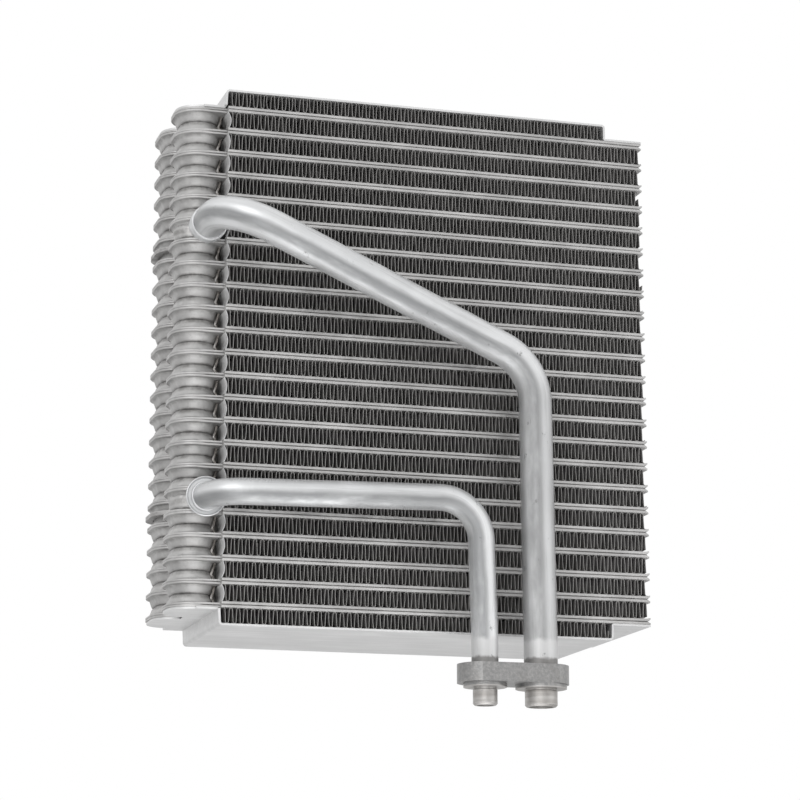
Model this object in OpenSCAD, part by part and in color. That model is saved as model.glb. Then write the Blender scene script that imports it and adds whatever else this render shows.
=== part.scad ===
// Laminated plate-and-fin evaporator core for a vehicle air conditioner.
// Brazed tube plates are stacked with corrugated fins between them. Each tube has two drawn
// cups at its left end, and the cups of neighbouring tubes meet to form two refrigerant tanks.
// Two bent pipes lead from the front tank to a two-port block that an expansion valve fits.

/* [Core] */
// Number of tubes in the stack
tube_count = 23; // [20:1:23]
// Distance from one tube to the next
tube_pitch = 11; // [10.5:0.1:12]
// Thickness of one tube over its two plates
tube_h = 3; // [2.6:0.1:3.6]
// Tube length across the core, without the tanks
tube_len = 213.7; // [180:0.1:260]
// Depth of the core in the direction of the air
core_depth = 81; // [76:0.5:90]
// Wall of the drawn tube plates
plate_wall = 0.6; // [0.5:0.05:0.8]
// Height of the refrigerant passage inside a tube
passage_h = 1.6; // [1.2:0.1:1.8]
// Width of the rib between the two passages of a tube
rib_w = 4; // [2:0.5:8]
// Depth of the groove between the two plates of a tube
edge_groove = 1.4; // [0.6:0.1:2]
// Length of the splayed tip at the right end of a tube
tip_len = 2; // [1.5:0.1:3]
// How far each plate splays at that tip
tip_splay = 0.6; // [0.2:0.1:1]

/* [Tanks] */
// Radius of the round ends of a cup's rim
rim_r = 12.2; // [11.5:0.1:12.5]
// Step from the rim in to the neck of a cup
neck_step = 3.2; // [2.6:0.1:3.4]
// Thickness of the brazed rim
rim_h = 2.2; // [1.6:0.1:2.4]
// Step in from the rim to the bowl of a cup
rim_shoulder = 0.5; // [0.3:0.1:0.8]
// Depth of the groove round the rim, where its two plates meet
rim_groove = 0.6; // [0.2:0.1:0.6]
// Height of a cup's bowl, from the rim to the neck
bowl_h = 3.1; // [2.8:0.1:3.2]
// Chamfer round the joint of two cups
joint_chamfer = 0.3; // [0.1:0.1:0.5]
// Distance from the core's left edge to the middle of the tanks
tank_offset = 11.4; // [11:0.1:12]
// Depth in the core at which the front tank's first round end has its middle
front_tank_y = 15.7; // [15.2:0.1:16]
// Straight length of the front tank, between its round ends
front_tank_straight = 6.3; // [5:0.1:7]
// Depth in the core at which the rear tank's first round end has its middle
rear_tank_y = 51.9; // [50:0.1:53]
// Straight length of the rear tank, between its round ends
rear_tank_straight = 10.1; // [8:0.1:11]
// Thickness of the plates that divide the rear tank
partition_t = 2; // [1.2:0.1:2.2]
// How far a dividing plate stands out past the rims
partition_lip = 0.9; // [0:0.1:1.2]
// Gap filled by braze where two pieces meet
braze_gap = 0.04; // [0.02:0.01:0.1]

/* [Fins] */
// Length of one full wave of a fin
fin_wave = 3.55; // [3.2:0.05:4]
// Thickness of the fin strip, over its braze coat
fin_t = 0.25; // [0.2:0.05:0.3]
// Width of the flat crests that are brazed to the tubes
crest_w = 0.9; // [0.6:0.05:1.2]
// Bare length left at the right end of a tube
fin_stop = 2; // [1:0.5:6]

/* [End plates] */
// Sheet thickness of the two end plates
end_t = 1; // [0.8:0.1:1.2]
// Height of the half-height fin row under an end plate
end_row = 7.37; // [6.5:0.01:8]
// Length of the flange at the right end of an end plate
end_flange = 20; // [10:0.5:30]
// Inside radius of the bends in an end plate
end_bend = 2; // [1:0.5:2.5]
// Notch at the front left corner of an end plate
end_notch = 2.6; // [1:0.1:4]

/* [Pipes] */
// Outside diameter of the suction pipe
suction_d = 16; // [14:0.1:16.4]
// Outside diameter of the liquid pipe
liquid_d = 12.7; // [10:0.1:14]
// Wall of both pipes
pipe_wall = 1.2; // [1:0.1:1.6]
// Distance from the core's front forward to the pipes' upright runs
pipe_forward = 20; // [18:0.5:26]
// How far the suction nozzle is below the middle of the tube above it
suction_nozzle_drop = 3.5; // [3:0.1:4]
// How far the liquid nozzle is below the middle of the tube above it
liquid_nozzle_drop = 4.6; // [4:0.1:5]
// How far the suction pipe runs forward before it turns
suction_reach = 36.9; // [32:0.1:42]
// How far the liquid pipe runs forward before it turns
liquid_reach = 16; // [15:0.1:20]
// Height of the suction pipe's second corner
suction_corner_z = 119.3; // [100:0.1:140]
// Height of the liquid pipe's second corner
liquid_corner_z = 52.5; // [45:0.1:60]
// Sideways lean of the suction pipe's upright run
suction_lean = 1.5; // [0.8:0.1:3]
// Sideways lean of the liquid pipe's upright run
liquid_lean = 2; // [0.8:0.1:3]
// Middle radius of the suction pipe's bend at its nozzle
suction_first_bend = 23; // [20:0.5:26]
// Middle radius of the suction pipe's bend to its upright run
suction_second_bend = 28; // [20:0.5:32]
// Middle radius of the liquid pipe's bend at its nozzle
liquid_first_bend = 16; // [14:0.5:18]
// Middle radius of the liquid pipe's bend to its upright run
liquid_second_bend = 20; // [16:0.5:24]
// Radial clearance where a pipe enters a nozzle or the block
pipe_clear = 0.1; // [0.05:0.01:0.15]
// Wall of the nozzle sleeves
sleeve_wall = 0.4; // [0.3:0.05:0.5]
// Diameter of the flange on the suction nozzle
suction_flange_d = 17.8; // [17.4:0.1:19]
// Diameter of the flange on the liquid nozzle
liquid_flange_d = 19.2; // [15:0.1:20]
// Thickness of the nozzle flanges
flange_h = 1.2; // [0.8:0.1:2]
// Middle of the suction nozzle, from the core's left edge
suction_nozzle_x = -8.7; // [-9.5:0.1:-8.7]
// Middle of the liquid nozzle, from the core's left edge
liquid_nozzle_x = -8.3; // [-9.5:0.1:-7.5]
// Distance from the tank's chamber to the stop that a pipe's end meets
pipe_stop = 1; // [0.6:0.1:2]
// Height above the block where the upright runs turn plumb
straighten = 12; // [8:0.5:20]
// Radius of that last slight bend
slight_bend = 150; // [100:5:250]
// How much thicker the wall is in a bend, outside and inside
bend_swell = 0.03; // [0.03:0.01:0.1]

/* [Block] */
// Distance between the two ports
port_spacing = 27.7; // [27:0.1:32]
// Suction port, from the core's left edge
port_x = 149.8; // [140:0.1:170]
// Radius of the round ends of the block
block_r = 13.2; // [12.6:0.1:15]
// Thickness of the block
block_h = 8.8; // [8:0.1:12]
// Top of the block, below the lowest tube
block_drop = 26.4; // [22:0.1:40]
// Depth milled flat off the front of the block
block_flat = 1; // [0.5:0.1:1.4]
// Depth of the pipe sockets in the block
socket_depth = 5; // [3:0.1:6]
// Height of the collars round the ports
collar_h = 2; // [1:0.1:3]
// Diameter of the collar round the liquid port
liquid_collar_d = 20.5; // [19:0.1:22]
// Diameter of the collar round the suction port
suction_collar_d = 24.3; // [22:0.1:24.6]
// Diameter of the liquid spigot
liquid_spigot_d = 11.6; // [10:0.1:12]
// Diameter of the suction spigot
suction_spigot_d = 15.4; // [14:0.1:15.8]
// Length of the spigots below their collars
spigot_len = 8.4; // [6:0.1:12]
// Bore of the liquid port
liquid_bore = 8; // [7:0.1:8.4]
// Bore of the suction port
suction_bore = 11.6; // [10:0.1:12]
// Depth of the undercut beside each collar
undercut = 0.4; // [0.2:0.05:0.6]
// Width of the undercut beside each collar
undercut_w = 0.8; // [0.4:0.1:1.2]
// Chamfer at the tip of the spigots
spigot_chamfer = 0.8; // [0.4:0.1:1]

/* [Hidden] */
$fn = 64;
eps = 0.01;
neck_r = rim_r - neck_step;
half_pitch = tube_pitch / 2;
stack_h = (tube_count - 1) * tube_pitch;
front_tank = [front_tank_y, front_tank_y + front_tank_straight];
rear_tank = [rear_tank_y, rear_tank_y + rear_tank_straight];
liquid_x = port_x - port_spacing;
collar_face_z = -block_drop - block_h - collar_h;
// The model's origin is on the suction port's axis, halfway down its spigot.
datum = [port_x, -pipe_forward, collar_face_z - spigot_len / 2];

// The nozzles are brazed in between the cups of these tubes and the next ones down.
suction_tube = 6;
liquid_tube = 18;
suction_z = (tube_count - suction_tube) * tube_pitch - suction_nozzle_drop;
liquid_z = (tube_count - liquid_tube) * tube_pitch - liquid_nozzle_drop;
bend_steps = 6;

function two_digits(i) = str(i < 10 ? "0" : "", i);
function tube_name(i) = str("tube_", two_digits(i));
function fin_name(i) = str("fin_", two_digits(i));
function tube_z(i) = (tube_count - i) * tube_pitch;

// Vectors, and a strip of even thickness along a path of points
function unit(v) = v / norm(v);
function turned(v) = [-v.y, v.x];
function side_at(p, i) =
    let (
        last = len(p) - 1,
        before = unit(i > 0 ? p[i] - p[i - 1] : p[1] - p[0]),
        after = unit(i < last ? p[i + 1] - p[i] : p[last] - p[last - 1]),
        n = unit(turned(before) + turned(after))
    )
    n / (n * turned(before));
function strip(p, t) = concat(
    [for (i = [0:len(p) - 1]) p[i] + side_at(p, i) * t / 2],
    [for (i = [len(p) - 1:-1:0]) p[i] - side_at(p, i) * t / 2]
);

// Moves the core's frame to the model's origin.
module placed() {
    translate(-datum) children();
}

// Extrudes an outline drawn in Y and Z along X.
module along_x(length) {
    rotate([90, 0, 90]) linear_extrude(length) children();
}

// Extrudes an outline drawn in X and Z along Y, from the front to the back.
module along_y(length) {
    translate([0, length, 0]) rotate([90, 0, 0]) linear_extrude(length) children();
}

// Solid with a straight middle and round ends, from the right half of its section
module tank_form(tank) {
    for (end = [0, 1])
        translate([-tank_offset, tank[end], 0])
            rotate(180 + 180 * end) rotate_extrude(angle = 180) children();
    translate([-tank_offset, tank[0], 0]) along_y(tank[1] - tank[0]) {
        children();
        mirror([1, 0]) children();
    }
}

module stadium(tank, r) {
    for (y = tank)
        translate([-tank_offset, y]) circle(r);
    translate([-tank_offset - r, tank[0]]) square([2 * r, tank[1] - tank[0]]);
}

// Section of a cup, right of its middle: up and down are how far it reaches from the tube.
// A bowl of one radius leads from the rim in to the neck on each side.
bowl_step = neck_step - rim_shoulder;
bowl_r = (bowl_h * bowl_h + bowl_step * bowl_step) / (2 * bowl_step);
bowl_x = rim_r - rim_shoulder - bowl_r;

module both_bowls(r) {
    for (s = [-1, 1])
        translate([bowl_x, s * rim_h / 2]) circle(r);
}

module cup_section(up, down) {
    difference() {
        intersection() {
            union() {
                translate([0, -rim_h / 2]) square([rim_r, rim_h]);
                polygon([[0, -down], [neck_r - joint_chamfer, -down], [neck_r, -down + joint_chamfer],
                    [neck_r, up - joint_chamfer], [neck_r - joint_chamfer, up], [0, up]]);
                both_bowls(bowl_r);
            }
            translate([0, -down]) square([rim_r, up + down]);
        }
        polygon([[rim_r - rim_groove, 0], [rim_r + eps, -rim_shoulder / 2], [rim_r + eps, rim_shoulder / 2]]);
    }
}

// The chamber inside a cup, open where the next cup follows and closed at an end plate
function open_end(reach) = reach > rim_h / 2 ? reach + eps : passage_h / 2;

module chamber_section(up, down) {
    intersection() {
        union() {
            translate([0, -half_pitch]) square([neck_r - plate_wall, tube_pitch]);
            translate([0, -rim_h / 2]) square([bowl_x + bowl_r - plate_wall, rim_h]);
            both_bowls(bowl_r - plate_wall);
        }
        translate([0, -open_end(down)]) square([rim_r, open_end(up) + open_end(down)]);
    }
}

// How far a cup reaches from its tube's middle: to the next cup, to a dividing plate, or
// only to the rim where an end plate closes the tank.
function is_rear(tank) = tank == rear_tank;
function divided(i) = i == suction_tube || i == liquid_tube;
function down_reach(i, tank) =
    i == tube_count ? rim_h / 2
    : half_pitch - (is_rear(tank) && divided(i) ? partition_t / 2 + braze_gap : braze_gap / 2);
function up_reach(i, tank) = i == 1 ? rim_h / 2 : down_reach(i - 1, tank);

// Section of a tube: two plates with a groove along each edge
module tube_section() {
    half = tube_h / 2;
    mouth = 0.35;
    round_off = 0.3;
    front = [[round_off, -half], [0, -half + round_off], [0, -mouth], [edge_groove, 0],
        [0, mouth], [0, half - round_off], [round_off, half]];
    polygon(concat(front, [for (p = front) [core_depth - p.x, -p.y]]));
}

// The two plates part at the right end of a tube and end in a Y. A plate that lies on the
// flange of an end plate stays flat.
tip_kink = 0.8;
kink_gap = 0.15;
module tube_tips(i) {
    half = tube_h / 2;
    for (s = [-1, 1]) {
        splay = (i == 1 && s > 0) || (i == tube_count && s < 0) ? 0 : tip_splay;
        along_y(core_depth)
            polygon([[0, -s * kink_gap], [0, s * half], [tip_kink, s * half], [tip_len, s * (half + splay)],
                [tip_len, s * (splay + half - plate_wall)], [tip_kink, s * kink_gap]]);
    }
}

// U-shaped refrigerant way from the front cup round to the rear cup
passage_edge = 4;
passage_turn = 18;
passage_mouth = 4;
module passage_plan() {
    inner = tube_len - passage_edge - passage_turn;
    leg = (core_depth - rib_w) / 2 - passage_edge;
    for (y = [passage_edge, core_depth - passage_edge - leg])
        translate([passage_edge, y]) square([inner - passage_edge, leg]);
    translate([inner - eps, passage_edge]) square([passage_turn, core_depth - 2 * passage_edge]);
    for (tank = [front_tank, rear_tank])
        translate([-tank_offset, tank[0] - passage_mouth])
            square([tank_offset + passage_edge + eps, tank[1] - tank[0] + 2 * passage_mouth]);
}

// Plate material between the cups and the core
web_front = 5;
web_back = 9;
module web_plan() {
    translate([-tank_offset, front_tank[0] - web_front])
        square([tank_offset + eps, rear_tank[1] - front_tank[0] + web_front + web_back]);
}

module tube(i) {
    color("lightgrey") placed() translate([0, 0, tube_z(i)]) difference() {
        union() {
            along_x(tube_len - tip_len) tube_section();
            translate([tube_len - tip_len, 0, 0]) tube_tips(i);
            translate([0, 0, -rim_h / 2]) linear_extrude(rim_h) web_plan();
            for (tank = [front_tank, rear_tank])
                tank_form(tank) cup_section(up_reach(i, tank), down_reach(i, tank));
        }
        translate([0, 0, -passage_h / 2]) linear_extrude(passage_h) passage_plan();
        for (tank = [front_tank, rear_tank])
            tank_form(tank) chamber_section(up_reach(i, tank), down_reach(i, tank));
        translate([0, 0, -tube_z(i)]) nozzle_rooms(i);
    }
}

// Fins: a serpentine strip with flat crests that touch the tubes
function fin_crest(k, middle) =
    let (x = (k + 0.5) * fin_wave / 2, z = k % 2 == 0 ? middle : -middle)
    [[x - crest_w / 2, z], [x + crest_w / 2, z]];
function fin_path(height, length) =
    let (middle = (height - fin_t) / 2)
    [for (k = [0:floor(length / (fin_wave / 2)) - 1]) each fin_crest(k, middle)];

module fin_strip(height, length) {
    along_y(core_depth) polygon(strip(fin_path(height, length), fin_t));
}

fin_gap = tube_pitch - tube_h;
pan_len = tube_len - end_flange;
module fin(i) {
    full = i > 1 && i <= tube_count;
    height = (full ? fin_gap : end_row) - 2 * braze_gap;
    start = full ? 0 : end_bend;
    length = (full ? tube_len - fin_stop : pan_len - end_t - 2 * end_bend);
    middle = i == 1 ? stack_h + tube_h / 2 + end_row / 2
        : full ? tube_z(i) + tube_pitch / 2
        : -tube_h / 2 - end_row / 2;
    color("dimgrey") placed() translate([start, 0, middle]) fin_strip(height, length);
}

// End plates, drawn for the bottom of the stack: a pan over the last fins, a cap that
// closes the tanks and a flange on the last tube
cap_seat = rim_h / 2 + braze_gap;
tube_seat = tube_h / 2 + braze_gap;
pan_z = tube_h / 2 + end_row;

// Rounds the corners of a path in X and Z.
function corner_points(p, i, r) =
    let (
        a = unit(p[i - 1] - p[i]),
        b = unit(p[i + 1] - p[i]),
        half = acos(a * b) / 2,
        middle = p[i] + unit(a + b) * r / sin(half),
        from = p[i] + a * r / tan(half) - middle,
        to = p[i] + b * r / tan(half) - middle,
        sweep = 180 - 2 * half,
        way = from.x * to.y - from.y * to.x > 0 ? 1 : -1
    )
    [for (k = [0:bend_steps])
        let (t = way * sweep * k / bend_steps)
        middle + [from.x * cos(t) - from.y * sin(t), from.x * sin(t) + from.y * cos(t)]];
function rounded_path(p, r) = concat(
    [p[0]],
    [for (i = [1:len(p) - 2]) each corner_points(p, i, r)],
    [p[len(p) - 1]]
);

pan_clear = 0.15;
cap_slope = 1.2;
flange_slope = 1;
module pan_section() {
    wall_x = -end_t / 2 - pan_clear;
    far_x = pan_len - end_t / 2;
    polygon(strip(rounded_path([
        [-tank_offset, -cap_seat - end_t / 2],
        [wall_x - cap_slope, -cap_seat - end_t / 2],
        [wall_x, -pan_z - end_t / 2],
        [far_x, -pan_z - end_t / 2],
        [far_x + flange_slope, -tube_seat - end_t / 2],
        [tube_len, -tube_seat - end_t / 2]
    ], end_bend + end_t / 2), end_t));
}

module end_plate() {
    difference() {
        union() {
            along_y(core_depth) pan_section();
            translate([0, 0, -cap_seat - end_t]) linear_extrude(end_t) difference() {
                union() {
                    stadium(front_tank, rim_r - rim_shoulder);
                    stadium(rear_tank, rim_r - rim_shoulder);
                    web_plan();
                }
                translate([-braze_gap, 0]) square(core_depth);
            }
        }
        translate([-tank_offset - eps, -eps, -pan_z - 2 * end_t])
            cube([tank_offset + eps - end_t, end_notch, pan_z + 2 * end_t]);
    }
}

module bottom_end_plate() {
    color("silver") placed() end_plate();
}

module top_end_plate() {
    color("silver") placed() translate([0, 0, stack_h]) mirror([0, 0, 1]) end_plate();
}

// Dividing plates in the rear tank, between the cups of two tubes
module partition(i) {
    color("lightgrey") placed()
        translate([0, 0, tube_z(i) - half_pitch - partition_t / 2])
            linear_extrude(partition_t) difference() {
                stadium(rear_tank, rim_r + partition_lip);
                square(core_depth);
            }
}

module upper_partition() {
    partition(suction_tube);
}

module lower_partition() {
    partition(liquid_tube);
}

// Nozzles: a flanged sleeve on a saddle that takes the place of the fronts of two cups
saddle_up = 3.4;
saddle_back = 8;
saddle_left = 4;
saddle_side = 0.3;
tank_front = front_tank[0] - rim_r;
sleeve_end = front_tank[0] - neck_r + plate_wall;
flange_back = -0.1;

function sleeve_r(pipe_d) = pipe_d / 2 + pipe_clear + sleeve_wall;
function saddle_low(i) = tube_z(i + 1) + rim_h / 2 + braze_gap;

// Block of space, in the core's frame, from just above the rim of tube i + 1 up past the nozzle
module saddle_space(z, i, grow) {
    low = saddle_low(i) - grow;
    left = saddle_left - tank_offset - rim_r - grow;
    translate([left, tank_front - rim_r, low])
        cube([-left - saddle_side, rim_r + saddle_back + grow, z + saddle_up + grow - low]);
}

module toward_front(x, z, front, back) {
    translate([x, back, z]) rotate([90, 0, 0]) linear_extrude(back - front) children();
}

module nozzle_room(pipe_d, x, z, i) {
    saddle_space(z, i, braze_gap);
    toward_front(x, z, -rim_r, sleeve_end + eps) circle(sleeve_r(pipe_d) + braze_gap);
}

// Room that the nozzles take out of tube i
module nozzle_rooms(i) {
    if (i == suction_tube || i == suction_tube + 1)
        nozzle_room(suction_d, suction_nozzle_x, suction_z, suction_tube);
    if (i == liquid_tube || i == liquid_tube + 1)
        nozzle_room(liquid_d, liquid_nozzle_x, liquid_z, liquid_tube);
}

module nozzle(pipe_d, flange_d, x, z, i) {
    color("gainsboro") placed() difference() {
        union() {
            toward_front(x, z, flange_back - flange_h, flange_back) circle(d = flange_d);
            toward_front(x, z, flange_back - eps, sleeve_end) circle(sleeve_r(pipe_d));
            difference() {
                intersection() {
                    saddle_space(z, i, 0);
                    translate([0, 0, saddle_low(i)]) linear_extrude(2 * tube_pitch)
                        stadium(front_tank, rim_r - rim_shoulder);
                }
                linear_extrude(stack_h) stadium(front_tank, neck_r - plate_wall);
            }
        }
        toward_front(x, z, -rim_r, sleeve_end - pipe_stop) circle(pipe_d / 2 + pipe_clear);
        toward_front(x, z, -rim_r, front_tank[0]) circle(pipe_d / 2 - pipe_wall);
    }
}

module suction_nozzle() {
    nozzle(suction_d, suction_flange_d, suction_nozzle_x, suction_z, suction_tube);
}

module liquid_nozzle() {
    nozzle(liquid_d, liquid_flange_d, liquid_nozzle_x, liquid_z, liquid_tube);
}

// Pipes: straight runs and bends along a list of corners, each laid on from the end of the last
function way(p, i) = unit(p[i] - p[i - 1]);
function bend_axis(p, i) = unit(cross(way(p, i), way(p, i + 1)));
function bend_angle(p, i) = acos(way(p, i) * way(p, i + 1));
function bend_roll(p, i) =
    let (a = bend_axis(p, i - 1), b = bend_axis(p, i))
    atan2(cross(a, b) * way(p, i), a * b);
function trim(p, r, i) = i == 0 || i == len(p) - 1 ? 0 : r[i] * tan(bend_angle(p, i) / 2);

module pipe_ring(pipe_d, swell = 0) {
    difference() {
        circle(d = pipe_d + 2 * swell);
        circle(d = pipe_d - 2 * pipe_wall - 2 * swell);
    }
}

// The run from corner i - 1 on: Z follows the pipe and -X points to the middle of the bend.
// A straight run reaches into the slightly thicker wall of each bend that it meets.
bend_lap = 0.2;
function lap(p, i) = i == 0 || i == len(p) - 1 ? 0 : bend_lap;

module pipe_run(p, r, pipe_d, i) {
    length = norm(p[i] - p[i - 1]) - trim(p, r, i - 1) - trim(p, r, i);
    translate([0, 0, -lap(p, i - 1)])
        linear_extrude(length + lap(p, i - 1) + lap(p, i)) pipe_ring(pipe_d);
    if (i < len(p) - 1)
        translate([-r[i], 0, length]) rotate([90, 0, 0]) {
            angle = bend_angle(p, i);
            rotate_extrude(angle = angle) translate([r[i], 0]) pipe_ring(pipe_d, bend_swell);
            rotate(angle) translate([r[i], 0, 0]) rotate([-90, 0, 0])
                rotate(i + 1 < len(p) - 1 ? bend_roll(p, i + 1) : 0) pipe_run(p, r, pipe_d, i + 1);
        }
}

module pipe(p, r, pipe_d) {
    z = way(p, 1);
    y = bend_axis(p, 1) * -1;
    x = cross(y, z);
    multmatrix([
        [x.x, y.x, z.x, p[0].x],
        [x.y, y.y, z.y, p[0].y],
        [x.z, y.z, z.z, p[0].z]
    ]) pipe_run(p, r, pipe_d, 1);
}

pipe_root = sleeve_end - pipe_stop - braze_gap;
pipe_foot = -block_drop - socket_depth + braze_gap;
upright_foot = -block_drop + straighten;

suction_route = [
    [suction_nozzle_x, pipe_root, suction_z],
    [suction_nozzle_x, -suction_reach, suction_z],
    [port_x - suction_lean, -pipe_forward, suction_corner_z],
    [port_x, -pipe_forward, upright_foot],
    [port_x, -pipe_forward, pipe_foot]
];
liquid_route = [
    [liquid_nozzle_x, pipe_root, liquid_z],
    [liquid_nozzle_x, -liquid_reach, liquid_z],
    [liquid_x - liquid_lean, -pipe_forward, liquid_corner_z],
    [liquid_x, -pipe_forward, upright_foot],
    [liquid_x, -pipe_forward, pipe_foot]
];

module suction_pipe() {
    color("silver") placed()
        pipe(suction_route, [0, suction_first_bend, suction_second_bend, slight_bend, 0], suction_d);
}

module liquid_pipe() {
    color("silver") placed()
        pipe(liquid_route, [0, liquid_first_bend, liquid_second_bend, slight_bend, 0], liquid_d);
}

// Block: racetrack body with a socket, a collar and a spigot at each port
module spigot(length, d) {
    rotate_extrude() polygon([
        [0, 0], [d / 2 - undercut, 0], [d / 2 - undercut, -undercut_w], [d / 2, -undercut_w - undercut],
        [d / 2, -length + spigot_chamfer], [d / 2 - spigot_chamfer, -length], [0, -length]
    ]);
}

module port(x, collar_d, spigot_d) {
    translate([x, -pipe_forward, -block_drop - block_h - collar_h]) {
        cylinder(h = collar_h + eps, d = collar_d);
        translate([0, 0, eps]) spigot(spigot_len + eps, spigot_d);
    }
}

module port_holes(x, pipe_d, bore) {
    through = spigot_len + collar_h + block_h;
    translate([x, -pipe_forward, -block_drop - socket_depth])
        cylinder(h = socket_depth + eps, r = pipe_d / 2 + pipe_clear);
    translate([x, -pipe_forward, collar_face_z - spigot_len - eps])
        cylinder(h = through + 2 * eps, d = bore);
}

module block_plan() {
    for (x = [liquid_x, port_x])
        translate([x, -pipe_forward]) circle(block_r);
    translate([liquid_x, -pipe_forward - block_r]) square([port_spacing, 2 * block_r]);
}

module pipe_block() {
    color("darkgrey") placed() difference() {
        union() {
            translate([0, 0, -block_drop - block_h]) linear_extrude(block_h) difference() {
                block_plan();
                translate([liquid_x - block_r, -pipe_forward - 2 * block_r + block_flat])
                    square([port_spacing + 2 * block_r, block_r]);
            }
            port(liquid_x, liquid_collar_d, liquid_spigot_d);
            port(port_x, suction_collar_d, suction_spigot_d);
        }
        port_holes(liquid_x, liquid_d, liquid_bore);
        port_holes(port_x, suction_d, suction_bore);
    }
}

for (i = [1:tube_count])
    tube(i);
for (i = [1:tube_count + 1])
    fin(i);
top_end_plate();
bottom_end_plate();
upper_partition();
lower_partition();
suction_nozzle();
liquid_nozzle();
suction_pipe();
liquid_pipe();
pipe_block();
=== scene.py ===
import math
import random

import bmesh
import bpy
from mathutils import Euler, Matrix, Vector, noise


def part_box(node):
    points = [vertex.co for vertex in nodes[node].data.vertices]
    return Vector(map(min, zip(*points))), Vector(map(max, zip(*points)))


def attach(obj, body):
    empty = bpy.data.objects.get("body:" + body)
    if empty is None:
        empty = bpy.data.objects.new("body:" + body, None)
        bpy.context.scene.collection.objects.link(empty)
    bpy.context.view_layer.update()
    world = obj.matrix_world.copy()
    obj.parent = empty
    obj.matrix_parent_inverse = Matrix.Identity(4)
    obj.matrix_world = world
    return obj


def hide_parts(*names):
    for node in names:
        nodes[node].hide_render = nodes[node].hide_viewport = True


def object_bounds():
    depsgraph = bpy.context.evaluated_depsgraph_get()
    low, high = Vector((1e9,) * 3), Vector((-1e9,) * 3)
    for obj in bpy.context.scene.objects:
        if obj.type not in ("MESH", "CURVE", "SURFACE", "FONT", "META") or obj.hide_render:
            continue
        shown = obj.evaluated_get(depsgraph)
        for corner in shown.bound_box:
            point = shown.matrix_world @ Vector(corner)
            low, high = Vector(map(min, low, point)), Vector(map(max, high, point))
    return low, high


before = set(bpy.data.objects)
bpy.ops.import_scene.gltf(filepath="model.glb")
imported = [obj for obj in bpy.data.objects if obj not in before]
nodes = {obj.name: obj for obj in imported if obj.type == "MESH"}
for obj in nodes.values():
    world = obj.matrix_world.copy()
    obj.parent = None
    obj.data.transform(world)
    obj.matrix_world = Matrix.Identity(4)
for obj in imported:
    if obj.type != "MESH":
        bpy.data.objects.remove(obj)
cad_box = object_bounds()

MM = 0.001
TUBES = sorted(n for n in nodes if n.startswith("tube_"))
FINS = sorted(n for n in nodes if n.startswith("fin_"))
ROOT = "root"
SEED = 11

# The core's measures, in the part's frame
CORE_LOW, CORE_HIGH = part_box(TUBES[2])
CORE_LEFT = -149.8 * MM
TOP_TUBE_Z = 283.4 * MM
TUBE_PITCH = 11 * MM

# Camera: fitted to the tubes, ends and corners of the core
CAMERA_AT = (-0.41921, -1.19151, -0.13903)
CAMERA_AZIMUTH = -16.368
CAMERA_ELEVATION = -12.635
CAMERA_ROLL = 0.02
SENSOR = 36.0
LENS = 120.76


def add_camera():
    bpy.ops.object.camera_add(location=CAMERA_AT)
    camera = bpy.context.object
    camera.name = "photo_camera"
    camera.rotation_euler = Euler((
        math.radians(90 - CAMERA_ELEVATION),
        math.radians(CAMERA_ROLL),
        math.radians(CAMERA_AZIMUTH),
    ), "XYZ")
    camera.data.sensor_width = SENSOR
    camera.data.lens = LENS
    camera.data.clip_start = 0.05
    camera.data.clip_end = 20
    bpy.context.scene.camera = camera


# Shader maths: a wrapper round one socket, with operators that add nodes
class Value:
    """A number, colour or vector that a node puts out"""

    def __init__(self, tree, socket):
        self.tree = tree
        self.socket = socket

    def node(self, kind, settings=None, out=0, **inputs):
        return add_node(self.tree, kind, settings, out, **inputs)

    def maths(self, operation, *values):
        sockets = {f"in{i}": v for i, v in enumerate((self,) + values)}
        return self.node("ShaderNodeMath", {"operation": operation}, **sockets)

    def __add__(self, other):
        return self.maths("ADD", other)

    __radd__ = __add__

    def __mul__(self, other):
        return self.maths("MULTIPLY", other)

    __rmul__ = __mul__

    def __sub__(self, other):
        return self.maths("SUBTRACT", other)

    def __rsub__(self, other):
        return self * -1 + other

    def clamp(self):
        return self.maths("MAXIMUM", 0.0).maths("MINIMUM", 1.0)

    def ramp(self, low, high):
        """0 below low and 1 above high, with a smooth rise between them"""
        return self.node(
            "ShaderNodeMapRange", {"interpolation_type": "SMOOTHSTEP"},
            Value=self, **{"From Min": low, "From Max": high},
        )

    def mix(self, low, high):
        """The colour low where this is 0 and the colour high where it is 1"""
        return self.node(
            "ShaderNodeMix", {"data_type": "RGBA"}, 2,
            in0=self, in6=low, in7=high,
        )


def add_node(tree, kind, settings=None, out=0, **inputs):
    """Adds a node and returns one output; an input is named, or numbered as in0, in1 and so on"""
    made = tree.nodes.new(kind)
    for key, value in (settings or {}).items():
        setattr(made, key, value)
    for key, value in inputs.items():
        if key.startswith("in") and key[2:].isdigit():
            socket = made.inputs[int(key[2:])]
        else:
            socket = made.inputs[key]
        if isinstance(value, Value):
            tree.links.new(value.socket, socket)
        else:
            socket.default_value = value
    return Value(tree, made.outputs[out])


def grey(level, warm=0.0):
    """A grey, a little brown where warm is above 0 and a little blue where it is below"""
    return (level * (1 + warm), level, level * (1 - warm), 1)


# Outputs of the coordinate and attribute nodes, by their number
OBJECT_NORMAL = 1
OBJECT_PLACE = 3
ATTRIBUTE_VECTOR = 1


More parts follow.
